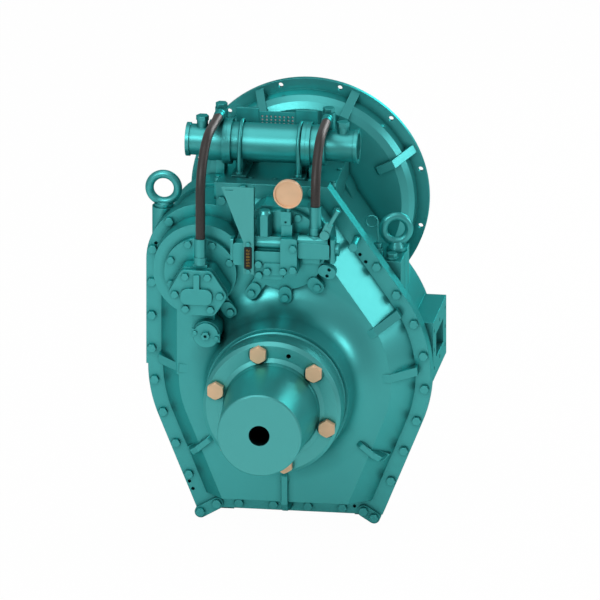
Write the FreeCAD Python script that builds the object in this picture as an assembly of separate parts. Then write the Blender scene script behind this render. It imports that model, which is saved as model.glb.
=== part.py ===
import FreeCAD, Part
import math
import os
from FreeCAD import Vector

# Marine reversing gearbox for a ship's engine. Millimetres. +X is starboard of the drawing as seen from the
# propeller side, +Y points at the engine, +Z is up. The origin is the centre of the engine flange's mating face,
# on the input shaft's axis.

# Gear train
output_drop = 320.0          # input axis down to output axis, which is the pinion's and the gear's centre distance
main_module = 8.0
gear_teeth = 60
pinion_teeth = 20
transfer_module = 5.0
transfer_teeth = 41
pump_module = 2.5
pump_teeth = 14
pump_drive = 9.0              # radius of the pump's end of the counter shaft
backlash = 0.7
pressure_angle = 20.0
run_gap = 0.4                # gap between parts that turn against each other
journal_gap = 0.05           # radial gap of a running fit
seat_gap = 0.05              # radial gap of a fixed fit

# Planes along the shafts, from the engine face towards the propeller
bell_flange_back = -12.0
bell_wall_back = -66.0       # bell housing's rear wall, and the main casing's front face
bell_wall_front = -54.0
split_plane = -321.0         # the joint between the main casing and the rear casing
flange_thick = 20.0
body_back = -413.0           # flat of the rear casing round the input axis
dome_back = -540.0           # small end of the output dome
coupling_joint = -593.0
coupling_front = -820.0
gear_back = -383.0           # output gear and pinions
gear_width = 84.0
transfer_back = -130.0       # transfer gears
transfer_width = 34.0
clutch_back = -290.0

# Casing outline, seen from behind, about the output axis
round_radius = 328.0
lower_slant = 22.0           # degrees
upper_slant = 35.0
floor_depth = 341.0
casing_top = 446.0
shoulder_left = -170.0
counter_flange_radius = 138.0
wall = 12.0
main_inset = 30.0            # main casing's wall behind the edge of its flange
foot_inset = 35.0            # rear casing's sloping wall, at its foot and at its top
head_inset = 82.0
box_left = -182.0
box_right = 100.0
box_back = -290.0
box_front = -80.0
box_rim = 109.0
cover_top = 119.0
gear_bulge_radius = 122.0
rear_boss_radius = 112.0
rear_rib_angles = (-90, -139, 176, -40, 3.5, 31)
rear_rib_end = 301.0
rear_boss_edge = 26.0
counter_wall_radius = 113.0
dome_neck_radius = 166.0
flare_radius = 75.0
rail_bottom = 370.0          # foot rails, below the output axis
rail_x = (140.0, 200.0)
rail_back = -262.0
rail_front = -95.0
pad_face = 326.0
pad_y = (-288.0, -82.0)
pad_z = (-349.0, -209.0)
window_length = 112.0
window_height = 58.0
pad_hole_radius = 5.0
pad_pitch_y = 86.0
pad_pitch_z = 89.0

# Engine flange, SAE No. 1
bell_radius = 276.2
bell_bolt_circle = 265.1
bell_hole_radius = 6.0
bell_holes = 12
bell_wall_radius = 250.0
bell_floor_radius = 220.0
bell_rib_angles = (26, 67, 116, 155)
bell_rib_thick = 20.0

# Output coupling
hub_radius = 98.0
hub_root_radius = 109.0
pilot_bore_radius = 24.0
pilot_depth = 90.0
coupling_radius = 162.0
coupling_bolt_circle = 135.0
coupling_bolt_count = 6
coupling_flange_thick = 31.0
coupling_turn = 103.0        # degrees, first bolt, from +X
output_flange_back = -560.0

# Shafts and bearings
output_shaft_radius = 65.0
output_bearing_radius = 110.0
output_bearing_width = 50.0
shaft_radius = 32.0
bearing_radius = 58.0
bearing_width = 26.0
drum_radius = 98.0
drum_wall = 10.0
plate_thick = 4.0
plate_gap = 0.5
plate_pairs = 8

# Cooler, lying across the top
cooler_y = -232.0
cooler_z = 191.0
cooler_radius = 45.0
cooler_left = -157.0
cooler_right = 27.0
bonnet_length = 44.0
port_radius = 36.0
port_bore_radius = 31.0
port_left = -254.0
port_right = 145.0
saddle_x = (-125.0, 11.0)
strap_rod = 4.5

# Hoses
hose_radius = 11.0
hose_bend = 122.0
hose_top = 254.0
hose_end_y = -231.0
left_hose_x = -187.0
left_hose_y = -475.0
right_hose_x = 77.0
left_banjo_x = -177.0
right_banjo_x = 72.0
hose_sleeve = 26.0
right_hose_y = -455.0

# Fasteners: shank radius, half across flats, head height
flange_bolt_shift = 3         # how far the flange's bolts are moved along it, in eighths of their pitch
flange_bolt = (6.0, 9.5, 8.0)
coupling_bolt = (12.0, 18.0, 15.0)
cover_bolt = (5.0, 8.0, 6.5)
small_bolt = (3.0, 5.0, 4.0)

out_z = -output_drop
swing = 2 * math.asin(transfer_module * transfer_teeth / 2 / output_drop)
counter_x = -output_drop * math.sin(swing)
counter_z = out_z + output_drop * math.cos(swing)


def vec(x, y, z):
    return Vector(x, y, z)


def cyl_y(radius, y0, y1, x=0.0, z=0.0):
    return Part.makeCylinder(radius, y1 - y0, vec(x, y0, z), vec(0, 1, 0))


def cyl_x(radius, x0, x1, y=0.0, z=0.0):
    return Part.makeCylinder(radius, x1 - x0, vec(x0, y, z), vec(1, 0, 0))


def cyl_z(radius, z0, z1, x=0.0, y=0.0):
    return Part.makeCylinder(radius, z1 - z0, vec(x, y, z0), vec(0, 0, 1))


def ring_y(outer, inner, y0, y1, x=0.0, z=0.0):
    return cyl_y(outer, y0, y1, x, z).cut(cyl_y(inner, y0 - 1, y1 + 1, x, z))


def cone_y(radius0, radius1, y0, y1, x=0.0, z=0.0):
    return Part.makeCone(radius0, radius1, y1 - y0, vec(x, y0, z), vec(0, 1, 0))


def box(x0, x1, y0, y1, z0, z1):
    return Part.makeBox(x1 - x0, y1 - y0, z1 - z0, vec(x0, y0, z0))


def fuse(first, *others):
    shape = first.fuse(list(others)) if others else first
    return shape.removeSplitter()


def polar(radius, degrees, x=0.0, z=0.0):
    a = math.radians(degrees)
    return x + radius * math.cos(a), z + radius * math.sin(a)


def revolve_y(points, x=0.0, z=0.0):
    """A full turn about an axis along Y of a closed profile of (radius, y) points."""
    corners = [vec(x + r, y, z) for r, y in points]
    face = Part.Face(Part.makePolygon(corners + corners[:1]))
    return face.revolve(vec(x, 0, z), vec(0, 1, 0), 360)


def prism_xz(points, y0, y1):
    corners = [vec(x, y0, z) for x, z in points]
    face = Part.Face(Part.makePolygon(corners + corners[:1]))
    return face.extrude(vec(0, y1 - y0, 0))


def rounded(shape, radius, chooser):
    """Fillets the edges that chooser picks."""
    edges = [e for e in shape.Edges if chooser(e)]
    return shape.makeFillet(radius, edges) if edges else shape


def upright_edge(e):
    low, high = e.BoundBox, e.BoundBox
    return high.ZLength > 1 and low.XLength < 0.01 and low.YLength < 0.01


def along_y(e):
    b = e.BoundBox
    return b.YLength > 1 and b.XLength < 0.01 and b.ZLength < 0.01


def along_x(e):
    b = e.BoundBox
    return b.XLength > 1 and b.YLength < 0.01 and b.ZLength < 0.01


def save(name, shape):
    os.makedirs("parts", exist_ok=True)
    solids = shape.Solids
    for s in solids:
        if not s.isValid() or s.Volume <= 0:
            print("check", name, s.isValid(), s.Volume)
    out = solids[0] if len(solids) == 1 else Part.makeCompound(solids)
    out.exportStep("parts/" + name + ".step")
    return out


def hexagon_y(half, y0, y1, x, z, turn=0.0):
    corners = [polar(half / math.cos(math.pi / 6), turn + 60 * k, x, z) for k in range(6)]
    return prism_xz(corners, y0, y1)


def bolt_back(spec, x, z, y, length, turn=0.0):
    """A hex bolt with its head behind the face at y and its shank running towards the engine."""
    shank, half, head = spec
    body = fuse(hexagon_y(half, y - head, y, x, z, turn), cyl_y(shank, y, y + length, x, z))
    return body.common(cone_y(half * 1.02, half * 1.02 + head * 2, y - head, y + head, x, z).fuse(
        cyl_y(half * 2, y - head / 2, y + length + 1, x, z)))


def bolt_down(spec, x, y, z, length):
    shank, half, head = spec
    corners = [polar(half / math.cos(math.pi / 6), 60 * k) for k in range(6)]
    points = [vec(x + a, y + b, z) for a, b in corners]
    hexagon = Part.Face(Part.makePolygon(points + points[:1])).extrude(vec(0, 0, head))
    return fuse(hexagon, cyl_z(shank, z - length, z, x, y))


def compound(items):
    return Part.makeCompound(items)


def holes_y(spec, places, y0, y1):
    return compound([cyl_y(spec[0] + seat_gap, y0, y1, x, z) for x, z in places])


def ring_places(count, radius, start=90.0, x=0.0, z=0.0):
    return [polar(radius, start + 360.0 / count * k, x, z) for k in range(count)]


def gear(module, teeth, y0, y1, x, z, phase):
    """An involute spur gear, a tooth's middle at the phase angle from +X."""
    pitch = module * teeth / 2
    base = pitch * math.cos(math.radians(pressure_angle))
    tip = pitch + (0.8 if module == pump_module else 1.0) * module
    root = pitch - 1.25 * module
    start = max(base, root)

    def half_angle(r):
        flank = math.acos(min(1.0, base / r))
        pressure = math.radians(pressure_angle)
        inv = math.tan(pressure) - pressure - math.tan(flank) + flank
        return math.pi / 2 / teeth - backlash / 4 / pitch + inv

    def at(r, angle):
        return vec(x + r * math.cos(angle), y0, z + r * math.sin(angle))

    edges = []
    middle = (start + tip) / 2
    step = 2 * math.pi / teeth
    for k in range(teeth):
        c = math.radians(phase) + k * step
        low, mid, high = half_angle(start), half_angle(middle), half_angle(tip)
        if root < start - 0.01:
            edges.append(Part.makeLine(at(root, c - low), at(start, c - low)))
        edges.append(Part.Arc(at(start, c - low), at(middle, c - mid), at(tip, c - high)).toShape())
        edges.append(Part.Arc(at(tip, c - high), at(tip, c), at(tip, c + high)).toShape())
        edges.append(Part.Arc(at(tip, c + high), at(middle, c + mid), at(start, c + low)).toShape())
        if root < start - 0.01:
            edges.append(Part.makeLine(at(start, c + low), at(root, c + low)))
        edges.append(Part.Arc(at(root, c + low), at(root, c + step / 2), at(root, c + step - low)).toShape())
    return Part.Face(Part.Wire(edges)).extrude(vec(0, y1 - y0, 0))


def mate_phase(phase, teeth, other_teeth, direction):
    """Phase of the second gear so that its gap meets the first gear's tooth along the given direction."""
    part = ((direction - phase) * teeth / 360.0) % 1.0
    return direction + 180.0 - (0.5 - part) * 360.0 / other_teeth


def loft_xz(points0, y0, points1, y1):
    wires = []
    for points, y in ((points0, y0), (points1, y1)):
        corners = [vec(x, y, z) for x, z in points]
        wires.append(Part.makePolygon(corners + corners[:1]))
    return Part.makeLoft(wires, True, True)


def lower_points(inset):
    r = round_radius - inset
    right = polar(r, -lower_slant, 0, out_z)
    floor = out_z - floor_depth + min(inset, foot_inset + 10)
    run = (right[1] - floor) * math.tan(math.radians(lower_slant))
    foot = right[0] - run
    return [(foot, floor), right, (-right[0], right[1]), (-foot, floor)]


def upper_points(inset):
    r = round_radius - inset
    right = polar(r, upper_slant, 0, out_z)
    top = out_z + casing_top - inset
    peak = right[0] - (top - right[1]) * math.tan(math.radians(upper_slant))
    return [(0, out_z), right, (peak, top), (shoulder_left + inset, top), (shoulder_left + inset, out_z)]


def left_points(inset):
    edge = counter_x - counter_flange_radius + inset
    return [(edge, out_z), (0, out_z), (0, counter_z), (edge, counter_z)]


def tapered(inset0, inset1, y0, y1):
    parts = [cone_y(round_radius - inset0, round_radius - inset1, y0, y1, 0, out_z)
             if inset0 != inset1 else cyl_y(round_radius - inset0, y0, y1, 0, out_z)]
    for shape in (lower_points, upper_points, left_points):
        if inset0 != inset1:
            parts.append(loft_xz(shape(inset0), y0, shape(inset1), y1))
        else:
            parts.append(prism_xz(shape(inset0), y0, y1))
    r0, r1 = counter_flange_radius - inset0, counter_flange_radius - inset1
    if inset0 != inset1:
        parts.append(cone_y(r0, r1, y0, y1, counter_x, counter_z))
    else:
        parts.append(cyl_y(r0, y0, y1, counter_x, counter_z))
    return fuse(*parts)


def flange_places(inset, count):
    plate = tapered(inset, inset, 0, 1)
    face = max((f for f in plate.Faces if abs(f.normalAt(0, 0).y) > 0.99), key=lambda f: f.Area)
    points = face.OuterWire.discretize(Number=count * 8 + 1)[:-1]
    return [(p.x, p.z) for p in points[flange_bolt_shift::8]]


def apart(place, others, least):
    return all(math.hypot(place[0] - x, place[1] - z) > least for x, z in others)


lug_ends = {-1: ((-167.0, -650.0), (-205.0, -672.0)), 1: ((173.0, -652.0), (197.0, -667.0))}
lug_places = [place for ends in lug_ends.values() for place in ends]
flange_bolt_places = [p for p in flange_places(13.0, 30) if apart(p, lug_places, 30)]
tall_bolt = min(flange_bolt_places, key=lambda p: math.hypot(p[0] - 154, p[1] - 7))
blind_holes = [(-309.6, -28.0), (-317.6, -43.7), (-231.8, -601.4), (-223.7, -619.0), (151.0, -643.0),
               (163.6, -32.7), (177.0, -49.7)]
pad_places = [(y, z) for y in (-1, 0, 1) for z in (-1, 1)]


def pad_holes(side):
    y = (pad_y[0] + pad_y[1]) / 2
    z = (pad_z[0] + pad_z[1]) / 2
    x0, x1 = sorted((side * (pad_face - 22), side * (pad_face + 1)))
    spots = [(y + a * pad_pitch_y, z + b * pad_pitch_z / 2) for a, b in pad_places]
    spots += [(y - pad_pitch_y, z), (y + pad_pitch_y, z)]
    return compound([cyl_x(pad_hole_radius, x0, x1, a, b) for a, b in spots])


def pad_gusset(side):
    """The web that carries a side pad down into the casing's slanted wall."""
    points = [(side * 250, pad_z[0] + 20), (side * pad_face, pad_z[0] + 1), (side * (pad_face - 34), pad_z[0] - 76),
              (side * 250, pad_z[0] - 76)]
    return prism_xz(points, pad_y[0], pad_y[1])


def capsule_xz(ends, radius, y0, y1):
    (xa, za), (xb, zb) = ends
    length = math.hypot(xb - xa, zb - za)
    dx, dz = -(zb - za) / length * radius, (xb - xa) / length * radius
    bar = prism_xz([(xa + dx, za + dz), (xb + dx, zb + dz), (xb - dx, zb - dz), (xa - dx, za - dz)], y0, y1)
    return fuse(bar, cyl_y(radius, y0, y1, xa, za), cyl_y(radius, y0, y1, xb, zb))


def main_casing():
    front = bell_wall_back
    outer = [tapered(0, 0, split_plane, split_plane + flange_thick),
             tapered(main_inset, main_inset, split_plane, front),
             box(box_left, box_right, box_back, box_front, -40, box_rim),
             cyl_y(counter_wall_radius, split_plane + flange_thick, front, counter_x, counter_z)]
    for x, z in ((0, 0), (counter_x, counter_z)):
        bulge = cyl_y(gear_bulge_radius, transfer_back - 12, front, x, z)
        outer.append(bulge.common(box(-400, 400, -400, 0, -400, box_rim)))
    outer.append(cyl_y(counter_wall_radius, split_plane + flange_thick, front).common(
        box(-400, 400, -400, 0, -400, box_rim)))
    for side in (-1, 1):
        x0, x1 = sorted((side * 270.0, side * pad_face))
        outer.append(box(x0, x1, pad_y[0], pad_y[1], pad_z[0], pad_z[1]))
        x0, x1 = sorted((side * rail_x[0], side * rail_x[1]))
        outer.append(box(x0, x1, rail_back, rail_front, out_z - rail_bottom, out_z - floor_depth + 60))
        outer.append(pad_gusset(side))
    outer.append(cyl_z(eye_boss_radius, -120, left_eye[2], left_eye[0], left_eye[1]))
    outer.append(cyl_z(eye_boss_radius, -200, right_eye[2], right_eye[0], right_eye[1]))
    outer.append(box(150, 250, -283, -150, -165, filler_z))
    outer.append(cyl_z(14, -110, dipstick_top - 8, dipstick_x, dipstick_y))
    shell = fuse(*outer)
    inner_front = front - wall
    deep = main_inset + wall
    cavity = [tapered(deep, deep, split_plane - 1, inner_front),
              box(box_left + wall, box_right - wall, box_back + wall, box_front - wall, -40, box_rim + 1),
              cyl_y(counter_wall_radius - wall, split_plane - 1, inner_front, counter_x, counter_z)]
    for x, z in ((0, 0), (counter_x, counter_z)):
        cavity.append(cyl_y(gear_bulge_radius - wall, transfer_back - 2, transfer_back + transfer_width + 4, x, z))
        cavity.append(cyl_y(drum_radius, split_plane - 1, inner_front, x, z))
    cavity.append(cyl_y(counter_wall_radius - wall, split_plane - 1, transfer_back))
    shell = shell.cut(fuse(*cavity))
    bosses = [cyl_y(bearing_radius + 14, front - bearing_width - 4, front, x, z)
              for x, z in ((0, 0), (counter_x, counter_z))]
    bosses.append(cyl_y(output_bearing_radius + 16, front - output_bearing_width - 8, front, 0, out_z))
    shell = fuse(shell, *bosses)
    cuts = [cyl_y(bearing_radius, front - bearing_width - 2, front + 1),
            cyl_y(bearing_radius - 10, front - bearing_width - 10, front + 1),
            cyl_y(bearing_radius, front - bearing_width - 5, front - 1.8, counter_x, counter_z),
            cyl_y(output_bearing_radius, front - output_bearing_width - 10, front - 6, 0, out_z)]
    for side in (-1, 1):
        x0, x1 = sorted((side * 250.0, side * (pad_face + 1)))
        y, z = (pad_y[0] + pad_y[1]) / 2, (pad_z[0] + pad_z[1]) / 2
        cuts.append(box(x0, x1, y - window_length / 2, y + window_length / 2,
                        z - window_height / 2, z + window_height / 2))
        cuts.append(pad_holes(side))
    cuts.append(holes_y(flange_bolt, flange_bolt_places, split_plane - 1, split_plane + flange_thick + 1))
    cuts.append(holes_y(cover_bolt, bell_bolt_places, front - 40, front + 1))
    cuts.append(compound([cyl_z(small_bolt[0] + seat_gap, box_rim - 9, box_rim + 1, x, y)
                          for x, y in cover_screw_places]))
    for x, y, z in (left_eye, right_eye):
        cuts.append(cyl_z(eye_shank_radius + seat_gap, z - 42, z + 1, x, y))
    cuts.append(cyl_z(dipstick_tube_radius + seat_gap, -250, 0, dipstick_x, dipstick_y))
    cuts.append(cyl_z(8 + seat_gap, -250, filler_z + 1, filler_x, filler_y))
    for item in cuts:
        shell = shell.cut(item)
    return shell


eye_boss_radius = 26.5
eye_shank_radius = 12.0
left_eye = (-302.0, -270.0, 40.0)
right_eye = (227.0, -200.0, -66.0)
lug_radius = 14.0
tall_bolt_rise = 59.0
lug_back = split_plane - flange_thick - 7.0
filler_x = 226.0
filler_y = -262.0
filler_z = -66.0
dipstick_x = 190.0
dipstick_y = -240.0
dipstick_tube_radius = 8.0
dipstick_wire = 1.8
dipstick_loop = 13.6
dipstick_loop_z = 14.5
bell_bolt_places = ring_places(10, 88.0, 18)
cover_screw_places = [(x, y) for x in (-174, -98, -42, 38, 92) for y in (box_back + 7, box_front - 7)]
cover_screw_places += [(x, y) for x in (box_left + 6, box_right - 6) for y in (-190, -130)]


def bell_housing():
    profile = [(62, bell_wall_back), (bell_floor_radius, bell_wall_back), (236, -58), (247, -44),
               (bell_wall_radius, bell_flange_back), (bell_radius, bell_flange_back), (bell_radius, 0),
               (255.6, 0), (255.6, -4), (243, -4), (236, -44), (226, bell_wall_front), (62, bell_wall_front)]
    shape = revolve_y(profile)
    ribs = []
    for k in range(len(bell_rib_angles)):
        angle = bell_rib_angles[k]
        wedge = Part.Face(Part.makePolygon([vec(178, bell_wall_back - 0.5, 0), vec(185, bell_wall_back - 12, 0),
                                            vec(226, bell_wall_back - 12, 0), vec(270, bell_flange_back, 0),
                                            vec(178, bell_flange_back, 0), vec(178, bell_wall_back - 0.5, 0)]))
        rib = wedge.extrude(vec(0, 0, bell_rib_thick))
        rib.translate(vec(0, 0, -bell_rib_thick / 2))
        rib.rotate(vec(0, 0, 0), vec(0, 1, 0), -angle)
        ribs.append(rib)
    hollow = revolve_y([(0, 1), (243, 1), (236, -44), (226, bell_wall_front), (0, bell_wall_front)])
    shape = fuse(shape, *[r.cut(hollow) for r in ribs])
    holes = compound([cyl_y(bell_hole_radius, -40, 1, x, z)
                      for x, z in ring_places(bell_holes, bell_bolt_circle, 15)])
    shape = shape.cut(holes)
    return shape.cut(holes_y(cover_bolt, bell_bolt_places, bell_wall_back - 1, bell_wall_front + 1))


def bell_bolts():
    shank, half, head = cover_bolt
    items = []
    for x, z in bell_bolt_places:
        items.append(fuse(hexagon_y(half, bell_wall_front, bell_wall_front + head, x, z),
                          cyl_y(shank, bell_wall_back - wall, bell_wall_front, x, z)))
    return compound(items)


def rear_bores():
    return ((0.0, 0.0), (counter_x, counter_z))


def rear_casing():
    flange = split_plane - flange_thick
    outer = [tapered(0, 0, flange, split_plane),
             tapered(head_inset, foot_inset, body_back, flange),
             output_dome()]
    for ends in lug_ends.values():
        outer.append(capsule_xz(ends, lug_radius, lug_back, split_plane))
    for x, z in rear_bores():
        boss = cyl_y(rear_boss_radius, body_back, flange, x, z)
        outer.append(boss.common(tapered(rear_boss_edge, rear_boss_edge, body_back, flange)))
    for angle in rear_rib_angles:
        wedge = Part.Face(Part.makePolygon([vec(215, flange, -10), vec(215, body_back - 2, -10),
                                            vec(245, body_back - 3, -10), vec(rear_rib_end, -366, -10),
                                            vec(rear_rib_end, flange, -10), vec(215, flange, -10)])).extrude(
                                                vec(0, 0, 20))
        wedge.rotate(vec(0, 0, 0), vec(0, 1, 0), -angle)
        wedge.translate(vec(0, 0, out_z))
        outer.append(wedge)
    shell = fuse(*outer)
    inner = body_back + wall
    cavity = [tapered(head_inset + wall, foot_inset + wall, inner, flange),
              tapered(foot_inset + wall, foot_inset + wall, flange, split_plane + 1),
              flared_dome(round_radius - head_inset - 3, flare_radius - 3, output_bearing_radius + 38,
                          inner - flare_radius - 1, inner)]
    for x, z in rear_bores():
        cavity.append(cyl_y(92, gear_back - 2, split_plane + 1, x, z))
    shell = shell.cut(fuse(*cavity))
    pads = [cyl_y(bearing_radius + 16, body_back, gear_back - 1.5, x, z) for x, z in rear_bores()]
    shell = fuse(shell, *pads)
    cuts = [cyl_y(output_bearing_radius, dome_back - 1, dome_back + output_bearing_width + 10, 0, out_z),
            cyl_y(output_bearing_radius - 18, dome_back - 1, -460, 0, out_z),
            holes_y(flange_bolt, flange_bolt_places, flange - 1, split_plane + 1),
            holes_y(flange_bolt, lug_places, lug_back - 1, split_plane - 3),
            holes_y(cover_bolt, output_cover_places, dome_back - 1, dome_back + 24),
            holes_y(cover_bolt, lobe_places, lobe_back - 1, lobe_back + lobe_grip),
            compound([cyl_y(4, flange - 1, flange + 10, x, z) for x, z in blind_holes])]
    for (x, z), places in zip(rear_bores(), (input_cover_places, counter_cover_places)):
        cuts.append(cyl_y(bearing_radius, body_back - 1, body_back + bearing_width + 0.2, x, z))
        cuts.append(cyl_y(shaft_radius + 8, body_back - 1, gear_back, x, z))
        cuts.append(holes_y(cover_bolt, places, body_back - 1, body_back + 18))
    for item in cuts:
        shell = shell.cut(item)
    return shell


output_cover_places = ring_places(12, 145.0, 15, 0, out_z)
input_lobes = [polar(117, -25), polar(116, -47.5), polar(114, -88), polar(130, -125)]
counter_lobes = [polar(114, -51.5, counter_x, counter_z)]
lobe_places = input_lobes[1:] + counter_lobes
lobe_radius = 15.0
lobe_back = body_back - 22.0
lobe_grip = 33.0
dome_clear = 262.0           # cover bolts stay this far from the output axis, clear of the dome


def clear_of_dome(places):
    return [(x, z) for x, z in places if math.hypot(x, z - out_z) > dome_clear]


input_cover_places = [p for p in clear_of_dome(ring_places(8, 86.0, 22.5)) if apart(p, input_lobes, 45)]
counter_cover_places = clear_of_dome(ring_places(8, 74.0, 22.5, counter_x, counter_z))
input_cover_radius = 96.0
counter_cover_radius = 84.0
rear_cover_thick = 16.0
pump_back = -498.0
valve_front = body_back - rear_cover_thick


def bolts_back(spec, places, y, length):
    return compound([bolt_back(spec, x, z, y, length) for x, z in places])


def top_cover():
    plate = box(box_left, box_right, box_back, box_front, box_rim, cover_top)
    plate = rounded(plate, 8, upright_edge)
    return plate.cut(compound([cyl_z(small_bolt[0] + seat_gap, box_rim - 1, cover_top + 1, x, y)
                               for x, y in cover_screw_places]))


def cover_screws():
    return compound([bolt_down(small_bolt, x, y, cover_top, 16) for x, y in cover_screw_places])


def flared_dome(rim, sweep, neck, y0, y1):
    """A solid of revolution that flares from its neck at y0 out to a flat at y1."""
    low = y1 - sweep
    k = sweep * math.sqrt(0.5)
    waist = rim - sweep
    edges = [Part.makeLine(vec(0, y0, out_z), vec(neck, y0, out_z)),
             Part.makeLine(vec(neck, y0, out_z), vec(waist, low, out_z)),
             Part.Arc(vec(waist, low, out_z), vec(rim - k, low + k, out_z), vec(rim, y1, out_z)).toShape(),
             Part.makeLine(vec(rim, y1, out_z), vec(0, y1, out_z)),
             Part.makeLine(vec(0, y1, out_z), vec(0, y0, out_z))]
    return Part.Face(Part.Wire(edges)).revolve(vec(0, 0, out_z), vec(0, 1, 0), 360)


def output_dome():
    return flared_dome(round_radius - head_inset, flare_radius, dome_neck_radius, dome_back, body_back)


def output_bearing_cover():
    shape = revolve_y([(66.5, dome_back), (160, dome_back), (160, dome_back - 7), (156, dome_back - 10),
                       (66.5, dome_back - 10)], 0, out_z)
    return shape.cut(holes_y(cover_bolt, output_cover_places, dome_back - 20, dome_back + 1))


def output_cover_bolts():
    return compound([bolt_back((cover_bolt[0], cover_bolt[1], 5.0), x, z, dome_back - 10, 30)
                     for x, z in output_cover_places])


def rear_cover(x, z, radius, places):
    plate = cyl_y(radius, body_back - rear_cover_thick, body_back, x, z)
    plate = fuse(plate, cyl_y(bearing_radius - 0.3, body_back, body_back + 1.5, x, z).cut(
        cyl_y(bearing_radius - 8, body_back, body_back + 2, x, z)))
    return plate.cut(output_dome()).cut(holes_y(cover_bolt, places, body_back - rear_cover_thick - 1,
                                                body_back + 1))


def lobed(shape, centre, lobes, seat):
    """Adds the cover's outer bolt lobes, which reach down on to the dome."""
    arms = []
    for x, z in lobes:
        reach = math.hypot(x - centre[0], z - centre[1])
        heading = math.degrees(math.atan2(z - centre[1], x - centre[0]))
        arms.append(capsule_xz((polar(70, heading, *centre), (x, z)), lobe_radius, valve_front, body_back))
        arms.append(capsule_xz((polar(reach - 12, heading, *centre), (x, z)), lobe_radius, lobe_back, body_back))
    shape = fuse(shape, *[arm.cut(output_dome()).cut(cyl_y(bearing_radius, lobe_back, body_back + 2, *centre))
                          for arm in arms])
    return shape.cut(holes_y(cover_bolt, seat, lobe_back - 1, body_back + 1))


def input_rear_cover():
    shape = rear_cover(0, 0, input_cover_radius, input_cover_places)
    shape = lobed(shape, (0, 0), input_lobes, input_lobes[1:])
    x, z = input_lobes[0]
    shape = shape.cut(compound([cyl_y(4, lobe_back - 1, lobe_back + 8, x, z + 8),
                                cyl_y(4, lobe_back - 1, lobe_back + 8, x - 5, z - 7)]))
    return shape.cut(cyl_y(shaft_radius + 3, body_back - 8, body_back + 2))


def counter_rear_cover():
    shape = rear_cover(counter_x, counter_z, counter_cover_radius, counter_cover_places)
    shape = lobed(shape, (counter_x, counter_z), counter_lobes, counter_lobes)
    return shape.cut(cyl_y(pump_drive + 0.3, body_back - rear_cover_thick - 1, body_back + 2, counter_x, counter_z)).cut(
        cyl_y(shaft_radius + 3, body_back - 8, body_back + 2, counter_x, counter_z))


def input_bearing_cover():
    shape = revolve_y([(shaft_radius + 1, bell_wall_back - 2), (bearing_radius - 0.3, bell_wall_back - 2),
                       (bearing_radius - 0.3, bell_wall_front), (76, bell_wall_front), (76, bell_wall_front + 7),
                       (shaft_radius + 1, bell_wall_front + 7)])
    return shape.cut(holes_y(small_bolt, front_cover_places, bell_wall_front - 1, bell_wall_front + 8))


front_cover_places = ring_places(6, 69.0, 30)


def front_cover_bolts():
    shank, half, head = small_bolt
    y = bell_wall_front + 7
    return compound([fuse(hexagon_y(half, y, y + head, x, z), cyl_y(shank, y - 7, y, x, z))
                     for x, z in front_cover_places])


def bearing_outer(y, radius, width, x, z):
    return ring_y(radius - seat_gap, radius * 0.84, y, y + width, x, z)


def bearing_inner(y, radius, width, bore, x, z, count):
    """Inner ring with its rollers and cage, all of which turn with the shaft."""
    race = bore + (radius * 0.84 - bore) * 0.42
    gap = radius * 0.84 - run_gap / 2
    roller = (gap - race) / 2
    middle = race + roller
    ring = ring_y(race, bore, y, y + width, x, z)
    rollers = [cyl_y(roller + 0.05, y + width * 0.12, y + width * 0.88, a, b)
               for a, b in ring_places(count, middle, 0, x, z)]
    cage = ring_y(middle + roller * 0.35, middle - roller * 0.35, y + width * 0.12, y + width * 0.88, x, z)
    return fuse(ring, cage, *rollers)


front_bearing_y = bell_wall_back - bearing_width - 4
rear_bearing_y = body_back
output_front_y = bell_wall_back - output_bearing_width - 7
output_rear_y = dome_back


def shaft_bearings_outer():
    items = []
    for x, z in rear_bores():
        items.append(bearing_outer(front_bearing_y + 2, bearing_radius, bearing_width, x, z))
        items.append(bearing_outer(rear_bearing_y + 1.6, bearing_radius, bearing_width - 1.6, x, z))
    return compound(items)


def shaft_bearings_inner(x, z):
    return compound([bearing_inner(front_bearing_y + 2, bearing_radius, bearing_width, shaft_radius, x, z, 14),
                     bearing_inner(rear_bearing_y + 1.6, bearing_radius, bearing_width - 1.6, shaft_radius,
                                   x, z, 14)])


def output_bearings_outer():
    return compound([bearing_outer(output_front_y, output_bearing_radius, output_bearing_width, 0, out_z),
                     bearing_outer(output_rear_y, output_bearing_radius, output_bearing_width, 0, out_z)])


def output_bearings_inner():
    return compound([bearing_inner(output_front_y, output_bearing_radius, output_bearing_width,
                                   output_shaft_radius, 0, out_z, 16),
                     bearing_inner(output_rear_y, output_bearing_radius, output_bearing_width,
                                   output_shaft_radius, 0, out_z, 16)])


input_phase = 0.0
gear_phase = 90.0
pinion_bore = shaft_radius + journal_gap
pinion_front = gear_back + gear_width
hub_outer = 60.0


def input_shaft():
    body = cyl_y(shaft_radius, rear_bearing_y + 1.6, -20)
    hub = revolve_y([(0, -46), (48, -46), (48, -20), (62, -20), (62, -8), (0, -8)])
    splines = []
    for k in range(18):
        tooth = box(-5, 5, -20, -8, 60, 68)
        tooth.rotate(vec(0, 0, 0), vec(0, 1, 0), 20 * k)
        splines.append(tooth)
    return fuse(body, hub, *splines)


def counter_shaft():
    rod = cyl_y(shaft_radius, rear_bearing_y + 1.6, front_bearing_y + bearing_width + 2, counter_x, counter_z)
    return fuse(rod, cyl_y(pump_drive, pump_gear_back, rear_bearing_y + 1.6, counter_x, counter_z))


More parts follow.
